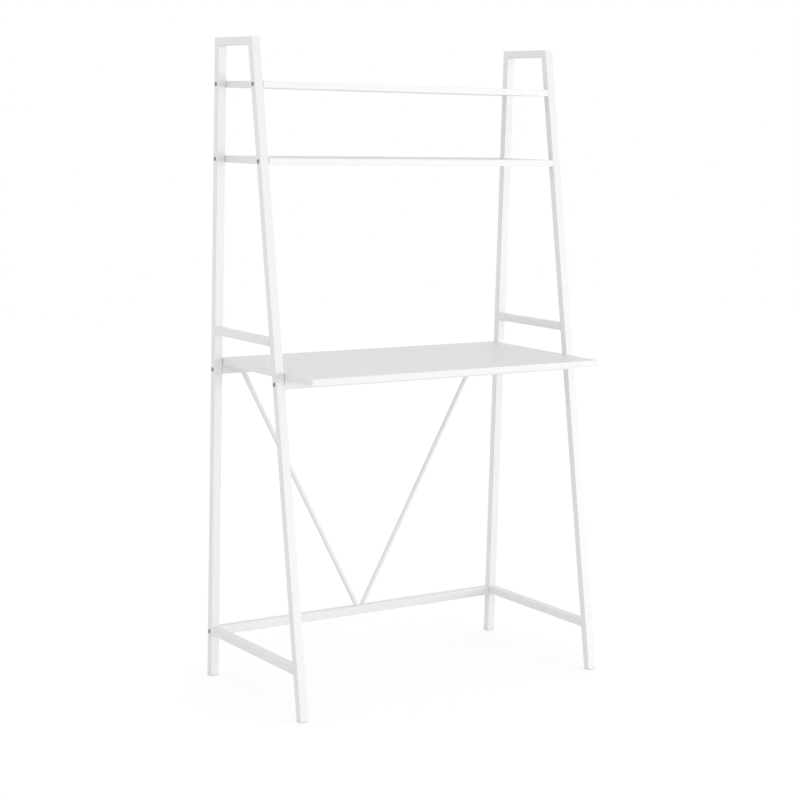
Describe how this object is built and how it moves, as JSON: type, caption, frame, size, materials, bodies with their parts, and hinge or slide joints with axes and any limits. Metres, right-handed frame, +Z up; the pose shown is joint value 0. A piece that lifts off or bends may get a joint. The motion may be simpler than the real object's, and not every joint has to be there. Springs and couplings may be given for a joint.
{
  "type": "ladder desk",
  "caption": "White ladder desk: leaning tube side frames carry a projecting writing board and narrow shelves above it, with thin V brace rods between the back legs.",
  "frame": {"origin": "on the floor, at the middle of the width and of the depth over the feet", "axes": "+Z up, +X to the right of someone who faces the desk, +Y to the back, so the writing side looks along -Y"},
  "size_m": [0.8432, 0.43, 1.49],
  "materials": {
    "powder_coat": "white powder coat on steel tube, satin, with a very fine orange peel",
    "board": "white melamine laminate on board, low sheen",
    "edge_band": "white ABS edge band, low sheen",
    "foot_plastic": "white moulded polypropylene, dull",
    "bolt_steel": "dull grey zinc-plated steel",
    "zinc_steel": "bright zinc-plated steel"
  },
  "bodies": {
    "root": {"back_rail": "powder_coat", "back_stretcher": "powder_coat", "desktop": "board", "desktop_back_band": "edge_band", "desktop_front_band": "edge_band", "desktop_left_band": "edge_band", "desktop_right_band": "edge_band", "desktop_screws": "zinc_steel", "front_rail": "powder_coat", "left_back_foot": "foot_plastic", "left_back_plug": "zinc_steel", "left_brace_rod": "powder_coat", "left_front_foot": "foot_plastic", "left_front_plug": "zinc_steel", "left_lower_back_leg": "powder_coat", "left_lower_front_leg": "powder_coat", "left_side_rail": "powder_coat", "left_side_stretcher": "powder_coat", "left_top_bar": "powder_coat", "left_upper_back_post": "powder_coat", "left_upper_front_post": "powder_coat", "lower_shelf": "board", "lower_shelf_back_band": "edge_band", "lower_shelf_front_band": "edge_band", "lower_shelf_left_band": "edge_band", "lower_shelf_right_band": "edge_band", "rail_bolts": "bolt_steel", "rail_end_nuts": "zinc_steel", "right_back_foot": "foot_plastic", "right_back_plug": "zinc_steel", "right_brace_rod": "powder_coat", "right_front_foot": "foot_plastic", "right_front_plug": "zinc_steel", "right_lower_back_leg": "powder_coat", "right_lower_front_leg": "powder_coat", "right_side_rail": "powder_coat", "right_side_stretcher": "powder_coat", "right_top_bar": "powder_coat", "right_upper_back_post": "powder_coat", "right_upper_front_post": "powder_coat", "shelf_bolts": "bolt_steel", "shelf_inserts": "zinc_steel", "stretcher_bolts": "bolt_steel", "upper_shelf": "board", "upper_shelf_back_band": "edge_band", "upper_shelf_front_band": "edge_band", "upper_shelf_left_band": "edge_band", "upper_shelf_right_band": "edge_band"}
  },
  "joints": []
}
